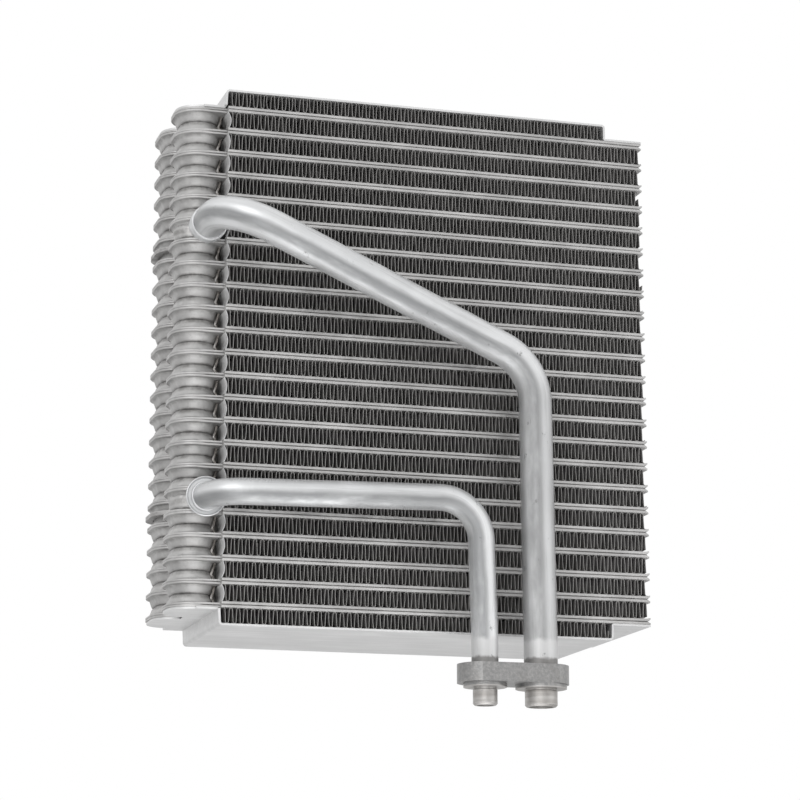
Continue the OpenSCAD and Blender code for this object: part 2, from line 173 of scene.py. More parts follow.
class Finish:
    """A metal finish: its node tree, the point and normal on the object, and its shader"""

    def __init__(self, name, metallic, roughness):
        self.material = bpy.data.materials.new(name)
        self.material.use_nodes = True
        self.tree = self.material.node_tree
        self.shader = self.tree.nodes["Principled BSDF"]
        self.shader.inputs["Metallic"].default_value = metallic
        self.shader.inputs["Roughness"].default_value = roughness
        self.place = add_node(self.tree, "ShaderNodeTexCoord", out=OBJECT_PLACE)
        self.normal = add_node(self.tree, "ShaderNodeTexCoord", out=OBJECT_NORMAL)

    def noise(self, scale, detail=4.0, rough=0.55, stretch=(1, 1, 1)):
        """Cloudy noise from 0 to 1, drawn out along an axis whose stretch is below 1"""
        spot = add_node(self.tree, "ShaderNodeMapping", Vector=self.place, Scale=stretch)
        return add_node(
            self.tree, "ShaderNodeTexNoise",
            Vector=spot, Scale=scale, Detail=detail, Roughness=rough,
        )

    def axis(self, vector, i):
        """One part of a vector: 0 for X, 1 for Y and 2 for Z"""
        return add_node(self.tree, "ShaderNodeSeparateXYZ", out=i, Vector=vector)

    def set(self, colour=None, roughness=None, metallic=None):
        for key, value in (("Base Color", colour), ("Roughness", roughness), ("Metallic", metallic)):
            if value is not None:
                self.tree.links.new(value.socket, self.shader.inputs[key])

    def bump(self, height, strength, distance):
        normal = add_node(
            self.tree, "ShaderNodeBump",
            Height=height, Strength=strength, Distance=distance,
        )
        self.tree.links.new(normal.socket, self.shader.inputs["Normal"])


# Painted shade on the cups, under the rims and in the necks, by how far below the middle of a tube
# it starts and fades
UNDER_RIM_START = (0.8 * MM, 1.5 * MM)
UNDER_RIM_END = (3.2 * MM, 1.6 * MM)
NECK_START = (4.2 * MM, 5.4 * MM)
NECK_END = (8.2 * MM, 6.6 * MM)


def tube_finish():
    """Brazed clad sheet: satin, with a milky flux haze, faint streaks and painted shade under the
    rims and in the necks of the cups
    """
    f = Finish("brazed_sheet", 0.75, 0.42)
    haze = f.noise(60, 5).ramp(0.35, 0.7)
    streaks = f.noise(240, 3, stretch=(0.15, 1, 1)).ramp(0.45, 0.75)
    specks = f.noise(900, 2).ramp(0.62, 0.75)
    shade = (haze * 0.5 + streaks * 0.5).clamp()
    below = (f.axis(f.place, 2) * -1 + TOP_TUBE_Z).maths("FLOORED_MODULO", TUBE_PITCH)
    under_rim = below.ramp(*UNDER_RIM_START) * below.ramp(*UNDER_RIM_END)
    neck = below.ramp(*NECK_START) * below.ramp(*NECK_END)
    on_tank = f.axis(f.place, 0).ramp(CORE_LEFT, CORE_LEFT - 2 * MM)
    mottle = f.noise(170, 5, 0.7).ramp(0.38, 0.66)
    # Painted shade under each cup rim and in each neck, broken up by the mottle, on the tanks only
    painted_rim_and_neck_shade = (under_rim * 0.7 + neck) * on_tank * (mottle * 0.75 + 0.25)
    colour = shade.mix(grey(0.42, 0.01), grey(0.58, 0.01))
    colour = (painted_rim_and_neck_shade.clamp() * 0.85).mix(colour, grey(0.2, 0.03))
    colour = (specks * 0.35).mix(colour, grey(0.28))
    f.set(colour=colour, roughness=haze * 0.14 + 0.42, metallic=haze * -0.25 + 0.75)
    f.bump(f.noise(700, 4) + f.noise(90, 3), 0.25, 0.0004)
    return f.material


def fin_finish():
    """Thin fin stock: dull grey, its cut front edges a little lighter"""
    f = Finish("fin_stock", 0.6, 0.5)
    edge = f.axis(f.normal, 1).maths("ABSOLUTE").ramp(0.75, 0.97)
    patches = f.noise(150, 4).ramp(0.3, 0.75)
    colour = patches.mix(grey(0.28, 0.02), grey(0.4, 0.02))
    colour = edge.mix(colour, grey(0.44, 0.02))
    f.set(colour=colour, roughness=patches * 0.2 + 0.42)
    f.bump(f.noise(1500, 3), 0.2, 0.0002)
    return f.material


def end_plate_finish():
    """Flat sheet of the end plates: pale, even, with light rolling marks"""
    f = Finish("end_sheet", 0.6, 0.45)
    haze = f.noise(35, 5).ramp(0.3, 0.75)
    rolling = f.noise(300, 3, stretch=(0.08, 1, 1)).ramp(0.4, 0.7)
    colour = (haze * 0.6 + rolling * 0.4).clamp().mix(grey(0.6), grey(0.74))
    f.set(colour=colour, roughness=haze * 0.12 + 0.4)
    f.bump(f.noise(600, 3), 0.15, 0.0003)
    return f.material


def clad_leg_finish():
    """Fin stock seen on its flat side, painted pale as a lit, unshadowed leg, with a faint flow of
    flux
    """
    f = Finish("clad_leg", 0.25, 0.5)
    haze = f.noise(260, 4).ramp(0.3, 0.7)
    # Pale greys: painted light on a lit copy of the fin stock
    colour = haze.mix(grey(0.7), grey(0.84))
    f.set(colour=colour, roughness=haze * 0.15 + 0.4)
    f.bump(f.noise(900, 3), 0.2, 0.0002)
    return f.material


BRIGHT_TIP = (-151.4 * MM, -152.6 * MM)


def braze_finish():
    """Run-out braze: rough and brownish, with a pale bright tip to the left"""
    f = Finish("run_out_braze", 0.35, 0.55)
    lumps = f.noise(500, 4, 0.7).ramp(0.35, 0.65)
    tip = (f.axis(f.place, 0) + f.noise(400, 2) * MM).ramp(*BRIGHT_TIP)
    colour = lumps.mix(grey(0.1, 0.1), grey(0.3, 0.08))
    colour = tip.mix(colour, grey(0.7, 0.03))
    f.set(colour=colour, roughness=lumps * 0.2 + 0.4)
    f.bump(lumps, 0.6, 0.0004)
    return f.material


# Marks on the pipes, and a painted dark reflection stripe down their fronts; across the front of a
# pipe, -1 is its left edge and 1 its right
BRUSHED_TOP = (32 * MM, 29 * MM)
BRUSHED_RAGGED = 7 * MM
GRIME_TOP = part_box("pipe_block")[1].z + 2.6 * MM
GRIME_FADE = 1.6 * MM
GRIME_RAGGED = 3 * MM
STRIPE_R = 7 * MM
STRIPE_MIDDLE = -0.4
STRIPE_EDGE = (0.6, 0.15)
STRIPE_WAVER = 0.7
FRONT_HALF = (-1 * MM, 2 * MM)
DULL_X = (-14 * MM, -9 * MM)
DULL_Z = (165 * MM, 140 * MM)


def pipe_finish():
    """Drawn pipe: lengthwise bands and scratches, a painted dark reflection stripe down the front,
    dull clouds, dark scuffs and a brushed end
    """
    f = Finish("drawn_pipe", 0.65, 0.4)
    f.place = add_node(
        f.tree, "ShaderNodeAttribute", {"attribute_name": "pipe_place"}, ATTRIBUTE_VECTOR,
    )
    bands = f.noise(150, 3, stretch=(1, 1, 0.06)).ramp(0.35, 0.65)
    scratches = f.noise(700, 3, 0.7, stretch=(1, 1, 0.03)).ramp(0.5, 0.75)
    # A painted dark reflection stripe down the front half of each pipe, left of its middle and
    # broken up by the waver
    across = f.axis(f.place, 1) * (1 / STRIPE_R)
    facing = f.axis(f.place, 0).ramp(*FRONT_HALF)
    waver = f.noise(60, 4, 0.6, stretch=(1, 1, 0.35))
    off_stripe = (across - STRIPE_MIDDLE + (waver - 0.5) * STRIPE_WAVER).maths("ABSOLUTE")
    painted_reflection_band = off_stripe.ramp(*STRIPE_EDGE) * facing * waver.ramp(0.2, 0.55)
    f.place = add_node(f.tree, "ShaderNodeTexCoord", out=OBJECT_PLACE)
    clouds = f.noise(45, 5).ramp(0.35, 0.7)
    scuffs = f.noise(170, 6, 0.75, stretch=(1, 1, 0.6)).ramp(0.62, 0.7)
    grain = f.noise(1300, 3).ramp(0.3, 0.7)
    height = f.axis(f.place, 2)
    brushed = (height + f.noise(150, 4) * BRUSHED_RAGGED).ramp(*BRUSHED_TOP)
    grime = (height - f.noise(300, 4) * GRIME_RAGGED).ramp(GRIME_TOP, GRIME_TOP - GRIME_FADE)
    dull = f.axis(f.place, 0).ramp(*DULL_X) * height.ramp(*DULL_Z)
    colour = (bands * 0.6 + clouds * 0.4).clamp().mix(grey(0.6, -0.01), grey(0.8, -0.01))
    colour = (painted_reflection_band * 0.85).mix(colour, grey(0.22, -0.02))
    colour = (scratches * 0.4).mix(colour, grey(0.36))
    colour = (dull * (waver * 0.6 + 0.2)).mix(colour, grey(0.24))
    colour = (brushed * 0.7).mix(colour, grey(0.66))
    colour = (scuffs * 0.65).mix(colour, grey(0.16))
    colour = (grime * 0.8).mix(colour, grey(0.16, 0.04))
    f.set(colour=colour, roughness=clouds * 0.1 + scratches * 0.1 + brushed * 0.12 + 0.36)
    f.bump(grain * 0.5 + scratches * 0.5 + f.noise(90, 3) * 2, 0.12, 0.0004)
    return f.material


SPIGOT_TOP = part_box("pipe_block")[0].z + 9.2 * MM
SPIGOT_FADE = 0.6 * MM


def block_finish():
    """Machined block: grainy grey faces with dark grime, and paler turned spigots"""
    f = Finish("machined_block", 0.8, 0.45)
    grain = f.noise(650, 5, 0.65).ramp(0.3, 0.8)
    grime = f.noise(110, 5, 0.65).ramp(0.5, 0.72)
    turned = f.axis(f.place, 2).ramp(SPIGOT_TOP, SPIGOT_TOP - SPIGOT_FADE)
    rings = f.noise(500, 3, stretch=(0.05, 0.05, 1)).ramp(0.35, 0.65)
    colour = grain.mix(grey(0.24), grey(0.36, 0.02))
    colour = (turned * 0.75).mix(colour, rings.mix(grey(0.34, 0.06), grey(0.5, 0.03)))
    colour = (grime * 0.5).mix(colour, grey(0.2, 0.04))
    f.set(colour=colour, roughness=grain * 0.15 + 0.35)
    f.bump(grain, 0.3, 0.0002)
    return f.material


def dress(names, material):
    """Gives CAD solids that stay in view a finish"""
    for name in names:
        slots = nodes[name].data.materials
        slots.clear()
        slots.append(material)


# Modelling helpers: edit mode on one object, with a part of its mesh selected by place
def select_only(piece):
    bpy.ops.object.select_all(action="DESELECT")
    piece.select_set(True)
    bpy.context.view_layer.objects.active = piece


def start_edit(piece):
    bpy.ops.object.mode_set(mode="OBJECT")
    select_only(piece)
    bpy.ops.object.mode_set(mode="EDIT")


def end_edit():
    bpy.ops.object.mode_set(mode="OBJECT")


def select_points(piece, wanted):
    """Selects the points for which wanted(place) holds, with the edges and faces between them"""
    bpy.ops.mesh.select_mode(type="VERT")
    bpy.ops.mesh.select_all(action="DESELECT")
    points = bmesh.from_edit_mesh(piece.data)
    for point in points.verts:
        point.select_set(wanted(point.co))
    points.select_flush_mode()
    bmesh.update_edit_mesh(piece.data)


def apply_modifier(piece, kind, **settings):
    modifier = piece.modifiers.new(kind.lower(), kind)
    for key, value in settings.items():
        setattr(modifier, key, value)
    select_only(piece)
    bpy.ops.object.modifier_apply(modifier=modifier.name)


def set_down(piece, material, smooth_angle=40):
    """Leaves a finished piece at the origin, with its finish, and rides it on the core"""
    select_only(piece)
    bpy.ops.object.transform_apply(location=True, rotation=True, scale=True)
    bpy.ops.object.shade_smooth_by_angle(angle=math.radians(smooth_angle))
    piece.data.materials.clear()
    piece.data.materials.append(material)
    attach(piece, ROOT)


def draw_line(name, points):
    """An open line through points, drawn out from one vertex"""
    bpy.ops.object.select_all(action="DESELECT")
    bpy.ops.mesh.primitive_plane_add(size=MM)
    line = bpy.context.object
    line.name = name
    start_edit(line)
    bpy.ops.mesh.merge(type="CENTER")
    bpy.ops.transform.translate(value=points[0])
    for a, b in zip(points, points[1:]):
        bpy.ops.mesh.extrude_vertices_move(TRANSFORM_OT_translate={"value": Vector(b) - Vector(a)})
    end_edit()
    return line


def add_box(name, low, high):
    """A box from its two far corners"""
    low, high = Vector(low), Vector(high)
    bpy.ops.object.select_all(action="DESELECT")
    bpy.ops.mesh.primitive_cube_add(size=1, location=(low + high) / 2, scale=high - low)
    box = bpy.context.object
    box.name = name
    bpy.ops.object.transform_apply(location=True, rotation=True, scale=True)
    return box


def join(base, others):
    """Makes others a part of base, each as its own closed shell"""
    bpy.ops.object.select_all(action="DESELECT")
    for piece in (base, *others):
        piece.select_set(True)
    bpy.context.view_layer.objects.active = base
    bpy.ops.object.join()
    return base


def copy_of(piece, name):
    """A copy with a mesh of its own"""
    twin = piece.copy()
    twin.data = piece.data.copy()
    twin.name = name
    bpy.context.collection.objects.link(twin)
    return twin


# The tubes' and tanks' measures, in the part's frame
HALF_TUBE = 1.5 * MM
TANK_X = -161.2 * MM
TANKS = ((35.7 * MM, 42.0 * MM), (71.9 * MM, 82.0 * MM))


def tube_middle(number):
    """The height of a tube's middle plane, counted from the top"""
    return TOP_TUBE_Z - TUBE_PITCH * (number - 1)


# Tubes: each is modelled in its own middle plane, Z = 0
RIM_R = 12.2 * MM
RIM_HALF = 1.1 * MM
BODY_R = 10.4 * MM
NECK_R = 9.1 * MM
CUP_REACH = 5.47 * MM
RIM_ROUND = 0.25 * MM
GROOVE_HALF = 0.15 * MM
RIM_OUTLINE = (
    (RIM_R - RIM_ROUND, 0),
    (RIM_R, GROOVE_HALF),
    (RIM_R, RIM_HALF - RIM_ROUND),
    (RIM_R - RIM_ROUND, RIM_HALF),
)
BODY_OUTLINE = (
    (BODY_R + 0.8 * MM, RIM_HALF + 0.05 * MM),
    (BODY_R + 0.25 * MM, RIM_HALF + 0.3 * MM),
    (BODY_R, RIM_HALF + 0.8 * MM),
    (NECK_R + 0.35 * MM, CUP_REACH - 0.9 * MM),
    (NECK_R, CUP_REACH - 0.3 * MM),
    (NECK_R - 0.4 * MM, CUP_REACH),
)
CUP_STEPS = 28
SEAM_LIP = 0.3 * MM
SEAM_DEPTH = 0.8 * MM
WEB_EDGE = 12.15 * MM
TIP_LENGTH = 1.6 * MM
TIP_NOTCH = 1.2 * MM
TIP_SPLAY = 0.35 * MM
TIP_GAP = 0.45 * MM
EDGE_ROUND = 0.3 * MM
WEB_SHY = 0.02 * MM
WEB_OVERLAP = 0.5 * MM
SMALL = 0.01 * MM


def round_ended(name, tank, outline):
    """A solid with round ends over a tank, from its outline in radius and height"""
    line = draw_line(name, [(TANK_X - r, tank[0], z) for r, z in outline])
    length = tank[1] - tank[0]
    start_edit(line)
    bpy.ops.mesh.select_all(action="SELECT")
    for y, way in ((tank[0], 1), (tank[1], -1)):
        bpy.ops.mesh.spin(
            steps=CUP_STEPS, angle=-math.pi, center=(TANK_X, y, 0), axis=(0, 0, 1),
        )
        bpy.ops.mesh.extrude_region_move(TRANSFORM_OT_translate={"value": (0, way * length, 0)})
    bpy.ops.mesh.select_all(action="SELECT")
    bpy.ops.mesh.remove_doubles(threshold=SMALL)
    bpy.ops.mesh.select_all(action="SELECT")
    bpy.ops.mesh.normals_make_consistent(inside=False)
    end_edit()
    return line


def cup_outline(open_up, open_down):
    """The outline of a cup pair from its top to its bottom; a closed side ends at the rim"""
    up = RIM_OUTLINE + (BODY_OUTLINE if open_up else ())
    down = RIM_OUTLINE + (BODY_OUTLINE if open_down else ())
    top = [(0, up[-1][1])] + list(reversed(up))
    return top + [(r, -z) for r, z in down[1:]] + [(0, -down[-1][1])]


def seam(box, low_y, high_y):
    """Cuts the groove between the two plates along the front and back edges"""
    start_edit(box)
    for z in (-SEAM_LIP, 0, SEAM_LIP):
        bpy.ops.mesh.select_all(action="SELECT")
        bpy.ops.mesh.bisect(plane_co=(0, 0, z), plane_no=(0, 0, 1))
    for y, way in ((low_y, 1), (high_y, -1)):
        select_points(box, lambda p: abs(p.z) < SMALL and abs(p.y - y) < SMALL)
        bpy.ops.transform.translate(value=(0, way * SEAM_DEPTH, 0))
    end_edit()


def splay_tips(core, flat_up, flat_down):
    """Parts the plates at the right end; a plate beside an end plate stays flat"""
    end = CORE_HIGH.x
    start_edit(core)
    bpy.ops.mesh.select_all(action="SELECT")
    bpy.ops.mesh.bisect(plane_co=(end - TIP_LENGTH, 0, 0), plane_no=(1, 0, 0))
    select_points(core, lambda p: abs(p.x - end) < SMALL and abs(p.z) < SMALL)
    bpy.ops.transform.translate(value=(-TIP_NOTCH, 0, 0))
    for way, flat in ((1, flat_up), (-1, flat_down)):
        splay = 0 if flat else TIP_SPLAY
        select_points(core, lambda p: abs(p.x - end) < SMALL and p.z * way > HALF_TUBE / 2)
        bpy.ops.transform.translate(value=(0, 0, way * splay))
        select_points(core, lambda p: abs(p.x - end) < SMALL and 0 < p.z * way < HALF_TUBE / 2)
        bpy.ops.transform.translate(value=(0, 0, way * (splay + TIP_GAP)))
    end_edit()


def round_edges(core):
    """Rounds the four long edges of a tube"""
    for y in (CORE_LOW.y, CORE_HIGH.y):
        for z in (-HALF_TUBE, HALF_TUBE):
            start_edit(core)
            select_points(core, lambda p: abs(p.z - z) < SMALL and abs(p.y - y) < SMALL)
            bpy.ops.mesh.bevel(offset=EDGE_ROUND, segments=2, affect="EDGES")
            end_edit()


def tube_plates(name, open_up, open_down):
    """One tube: its core with parted tips, its webs and its two cups"""
    core = add_box(
        name,
        (CORE_LEFT, CORE_LOW.y, -HALF_TUBE),
        (CORE_HIGH.x, CORE_HIGH.y, HALF_TUBE),
    )
    round_edges(core)
    seam(core, CORE_LOW.y, CORE_HIGH.y)
    splay_tips(core, not open_up, not open_down)
    web_low = TANKS[0][0] - WEB_EDGE
    web_high = TANKS[1][1] + WEB_EDGE
    web_half = RIM_HALF - WEB_SHY
    web = add_box(
        "web", (TANK_X, web_low, -web_half), (CORE_LEFT + WEB_OVERLAP, web_high, web_half),
    )
    seam(web, web_low, web_high)
    outline = cup_outline(open_up, open_down)
    cups = [round_ended("cup", tank, outline) for tank in TANKS]
    return join(core, [web] + cups)


def add_tubes(material):
    """Models the first, the last and one middle tube, and copies the middle one"""
    middle = tube_plates("middle_tube", True, True)
    ends = {
        1: tube_plates("first_tube", False, True),
        len(TUBES): tube_plates("last_tube", True, False),
    }
    for number, node in enumerate(TUBES, 1):
        piece = ends.get(number) or copy_of(middle, node)
        piece.name = f"{node}_plates"
        piece.location.z = tube_middle(number)
        set_down(piece, material)
        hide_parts(node)
    bpy.data.objects.remove(middle)


# End plates: modelled under the last tube, in its middle plane, and mirrored for the first
END_SHEET = 1.0 * MM
END_ROW = 7.37 * MM
BRAZE = 0.04 * MM
CAP_R = 11.7 * MM
CAP_Z = RIM_HALF + BRAZE
PAN_Z = HALF_TUBE + END_ROW
WALL_X = CORE_LEFT - 0.65 * MM
FAR_X = CORE_LEFT + 193.9 * MM
PAN_BEND = 1.3 * MM
CAP_BEND = 0.5 * MM
NOTCH = 2.6 * MM
NOTCH_FROM_X = WALL_X - 0.45 * MM
WALL_LEAN = 0.4 * MM
FAR_LEAN = 0.1 * MM


def end_sheet(name):
    """One sheet bent into cap, pan and flange, with round caps over the tanks"""
    half = END_SHEET / 2
    y = CORE_LOW.y
    flange_z = HALF_TUBE + BRAZE + half
    corners = (
        (WALL_X - WALL_LEAN, y, -CAP_Z - half),
        (WALL_X, y, -PAN_Z - half),
        (FAR_X, y, -PAN_Z - half),
        (FAR_X + FAR_LEAN, y, -flange_z),
    )
    ends = ((TANK_X, y, -CAP_Z - half), (CORE_HIGH.x, y, -flange_z))
    sheet = draw_line(name, (ends[0],) + corners + (ends[1],))
    start_edit(sheet)
    bpy.ops.mesh.select_all(action="SELECT")
    bpy.ops.mesh.extrude_region_move(
        TRANSFORM_OT_translate={"value": (0, CORE_HIGH.y - CORE_LOW.y, 0)}
    )
    for corner, radius in zip(corners, (CAP_BEND, PAN_BEND, PAN_BEND, CAP_BEND)):
        select_points(sheet, lambda p: math.hypot(p.x - corner[0], p.z - corner[2]) < SMALL)
        bpy.ops.mesh.bevel(offset=radius, segments=5, affect="EDGES")
    select_points(sheet, lambda p: p.x < NOTCH_FROM_X and p.y < y + SMALL)
    bpy.ops.transform.translate(value=(0, NOTCH, 0))
    end_edit()
    apply_modifier(sheet, "SOLIDIFY", thickness=END_SHEET, offset=0)
    cap = ((0, -CAP_Z), (CAP_R, -CAP_Z), (CAP_R, -CAP_Z - END_SHEET), (0, -CAP_Z - END_SHEET))
    caps = [round_ended("cap", tank, cap) for tank in TANKS]
    web = add_box(
        "cap_web",
        (TANK_X, TANKS[0][0] - CAP_R + SMALL, -CAP_Z - END_SHEET + SMALL),
        (WALL_X - MM, TANKS[1][1] + CAP_R - SMALL, -CAP_Z - SMALL),
    )
    return join(sheet, caps + [web])


def add_end_plates(material):
    """The bottom plate, and its mirror image on the first tube"""
    bottom = end_sheet("bottom_end_sheet")
    top = copy_of(bottom, "top_end_sheet")
    start_edit(top)
    bpy.ops.mesh.select_all(action="SELECT")
    bpy.ops.transform.resize(value=(1, 1, -1), center_override=(0, 0, 0))
    bpy.ops.mesh.normals_make_consistent(inside=False)
    end_edit()
    for piece, number, node in ((bottom, len(TUBES), "bottom_end_plate"), (top, 1, "top_end_plate")):
        piece.location.z = tube_middle(number)
        set_down(piece, material)
        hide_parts(node)


# Fins: one wave is drawn out from the edge of a plane, and the row is an array of it
FIN_WAVE = 3.55 * MM
FIN_CREST_R = 0.74 * MM
FIN_SHEET = 0.15 * MM
FIN_RECESS = 0.3 * MM
FIN_SHY = 0.6 * MM
FIN_START = 1.3 * MM
FIN_RAGGED = 1.3 * MM
FIN_CUTS = (1.0 * MM, 3.0 * MM, 9.0 * MM)
FIN_LEAN = 0.12
CREST_ANGLES = (90, 45, 0)


def wave_steps(height):
    """Steps in X and Z along one wave, from the middle of a top crest to the next one"""
    half = FIN_WAVE / 2
    rise = height / 2
    turn = [math.radians(a) for a in CREST_ANGLES]
    crest = [(FIN_CREST_R * math.cos(a), rise - FIN_CREST_R * (1 - math.sin(a))) for a in turn]
    down = crest + [(half / 2, 0.0)] + [(half - x, -z) for x, z in reversed(crest)]
    path = down + [(2 * half - x, z) for x, z in reversed(down[:-1])]
    return path[0], [(b[0] - a[0], b[1] - a[1]) for a, b in zip(path, path[1:])]


def fin_strip(name, height, waves, depth):
    """A flat-fronted row of waves, from X = 0 on and centred in Z"""
    start, steps = wave_steps(height)
    first = steps[0]
    bpy.ops.object.select_all(action="DESELECT")
    bpy.ops.mesh.primitive_plane_add(size=1, location=(0, 0, 0))
    strip = bpy.context.object
    strip.name = name
    start_edit(strip)
    bpy.ops.transform.resize(value=(first[0], depth, 1))
    bpy.ops.transform.translate(value=(start[0] + first[0] / 2, depth / 2, start[1]))
    select_points(strip, lambda p: p.x > start[0] + first[0] / 2)
    bpy.ops.transform.translate(value=(0, 0, first[1]))
    for step in steps[1:]:
        bpy.ops.mesh.extrude_region_move(
            TRANSFORM_OT_translate={"value": (step[0], 0, step[1])}
        )
    end_edit()
    apply_modifier(
        strip, "ARRAY", count=waves, use_relative_offset=False, use_constant_offset=True,
        constant_offset_displace=(FIN_WAVE, 0, 0), use_merge_vertices=True,
        merge_threshold=SMALL,
    )
    start_edit(strip)
    for y in FIN_CUTS:
        bpy.ops.mesh.select_all(action="SELECT")
        bpy.ops.mesh.bisect(plane_co=(0, y, 0), plane_no=(0, 1, 0))
    bpy.ops.mesh.select_all(action="SELECT")
    bpy.ops.mesh.normals_make_consistent(inside=False)
    end_edit()
    return strip


# Bent places: the row's number, how far along it, how wide, and how badly bent
BENT_PLACES = (
    (1, 14 * MM, 16 * MM, 3.2),
    (1, 33 * MM, 5 * MM, 5.0),
    (2, 18 * MM, 18 * MM, 2.6),
    (2, 128 * MM, 3 * MM, 6.0),
    (5, 120 * MM, 9 * MM, 2.2),
    (9, 70 * MM, 12 * MM, 1.8),
    (15, 30 * MM, 9 * MM, 1.8),
    (19, 8 * MM, 6 * MM, 2.6),
    (21, 200 * MM, 8 * MM, 2.4),
)
CREST_SHIFT = 0.11 * MM
LEG_BOW = 0.12 * MM
LEG_BOW_SPREAD = 0.6
SLOW_DRIFT = 0.35 * MM
DRIFT_LENGTH = 40 * MM
FADE_DEPTH = 9 * MM
FADE = 0.65
MOST_LEGS = 130


def bent_by(row, x):
    """How much more than usual the row is bent at x"""
    more = 1.0
    for number, middle, width, amount in BENT_PLACES:
        if number == row:
            more += (amount - 1) * math.exp(-((x - middle) / width) ** 2)
    return more


def ruffle(strip, row, height):
    """Shifts the crests and bows the legs of a row, most at its front"""
    chance = random.Random(SEED * 100 + row)
    half = FIN_WAVE / 2
    shifts = [chance.uniform(-1, 1) * CREST_SHIFT for _ in range(MOST_LEGS)]
    bows = [chance.gauss(0, LEG_BOW_SPREAD) * LEG_BOW for _ in range(MOST_LEGS)]
    drift = chance.uniform(0, 2 * math.pi)
    for point in strip.data.vertices:
        x, y, z = point.co
        leg = max(0, int(x / half))
        part = x / half - leg
        shift = shifts[leg] * (1 - part) + shifts[leg + 1] * part
        bow = bows[leg] * math.cos(math.pi * z / height)
        slow = SLOW_DRIFT * math.sin(x / DRIFT_LENGTH + drift)
        fade = 1 - FADE * min(1.0, y / FADE_DEPTH)
        point.co.x = x + slow + (shift + bow) * bent_by(row, x) * fade


def fin_row(strip, node, row, height):
    """A copy of the strip in the place of one CAD fin, trimmed at its ragged right end"""
    low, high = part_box(node)
    piece = copy_of(strip, f"{node}_row")
    ruffle(piece, row, height)
    chance = random.Random(SEED * 200 + row)
    left = CORE_LEFT + FIN_START
    right = FAR_X - END_SHEET if node in (FINS[0], FINS[-1]) else CORE_HIGH.x - FIN_SHY
    length = right - left - chance.uniform(0, FIN_RAGGED)
    lean = chance.uniform(-FIN_LEAN, FIN_LEAN)
    start_edit(piece)
    bpy.ops.mesh.select_all(action="SELECT")
    bpy.ops.mesh.bisect(
        plane_co=(length, 0, 0), plane_no=(1, 0, lean), clear_outer=True,
    )
    bpy.ops.mesh.select_all(action="SELECT")
    middle = (low.z + high.z) / 2
    bpy.ops.transform.translate(value=(left, low.y + FIN_RECESS, middle))
    end_edit()
    apply_modifier(piece, "SOLIDIFY", thickness=FIN_SHEET, offset=0)
    return piece


def add_fins(material):
    """A strip for the full rows and one for the end rows, each copied to its places"""
    full_low, full_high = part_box(FINS[1])
    end_low, end_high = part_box(FINS[0])
    depth = full_high.y - full_low.y - 2 * FIN_RECESS
    for rows, low, high in (
        (FINS[1:-1], full_low, full_high),
        ((FINS[0], FINS[-1]), end_low, end_high),
    ):
        height = high.z - low.z - FIN_SHEET
        waves = int((CORE_HIGH.x - low.x) / FIN_WAVE) + 1
        strip = fin_strip("fin_wave_strip", height, waves, depth)
        for node in rows:
            row = FINS.index(node) + 1
            piece = fin_row(strip, node, row, height)
            set_down(piece, material)
            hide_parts(node)
        bpy.data.objects.remove(strip)


# The first leg of each row: a wide strip, bowed to the right
LEG_STRIP_DEPTH = 18 * MM
LEG_STRIP_BOW = 1.1 * MM
LEG_STRIP_BOW_RANGE = (0.75, 1.2)
LEG_STRIP_POINTS = 9
LEG_STRIP_LEAN = 0.35
LEG_STRIP_START = 0.3 * MM


def add_first_legs(material):
    """The flat leg that begins each full row, painted pale as lit"""
    for number, node in enumerate(FINS[1:-1], 1):
        low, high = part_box(node)
        chance = random.Random(SEED * 7 + number)
        bow = LEG_STRIP_BOW * chance.uniform(*LEG_STRIP_BOW_RANGE)
        lean = chance.uniform(-LEG_STRIP_LEAN, LEG_STRIP_LEAN) * MM
        x = CORE_LEFT + LEG_STRIP_START
        middle = (low.z + high.z) / 2
        rise = (high.z - low.z) / 2
        points = []
        for i in range(LEG_STRIP_POINTS):
            up = 2 * i / (LEG_STRIP_POINTS - 1) - 1
            out = bow * math.cos(up * math.pi / 2) + lean * up
            points.append((x + out, low.y, middle + rise * up))
        leg = draw_line(f"{node}_first_leg", points)
        start_edit(leg)
        bpy.ops.mesh.select_all(action="SELECT")
        bpy.ops.mesh.extrude_region_move(TRANSFORM_OT_translate={"value": (0, LEG_STRIP_DEPTH, 0)})
        bpy.ops.mesh.select_all(action="SELECT")
        bpy.ops.transform.translate(value=(0, FIN_RECESS, 0))
        end_edit()
        apply_modifier(leg, "SOLIDIFY", thickness=FIN_SHEET, offset=0)
        set_down(leg, material)


# Pipes, in mm: the corners of each route, the radii of its bends and the radius of the pipe
PIPE_ROUTES = {
    "suction_pipe": (
        (
            (-158.5, 26.3, 224.9),
            (-158.5, -16.9, 224.9),
            (-1.5, 0, 160.7),
            (0, 0, 27),
            (0, 0, 10.1),
        ),
        (23, 28, 150),
        8.0,
    ),
    "liquid_pipe": (
        (
            (-158.1, 26.3, 91.8),
            (-158.1, 4, 91.8),
            (-29.7, 0, 93.9),
            (-27.7, 0, 27),
            (-27.7, 0, 10.1),
        ),
        (16, 20, 150),
        6.35,
    ),
}
PIPE_SIDES = 48
PIPE_WALL = 1.2 * MM
BEND_STEP = math.radians(5)
RUN_STEP = 8 * MM


def pipe_joint(name, end):
    """X and Z of a pipe's first (0) or last (-1) corner, and the pipe's radius"""
    route, _, pipe_r = PIPE_ROUTES[f"{name}_pipe"]
    return route[end][0] * MM, route[end][2] * MM, pipe_r * MM


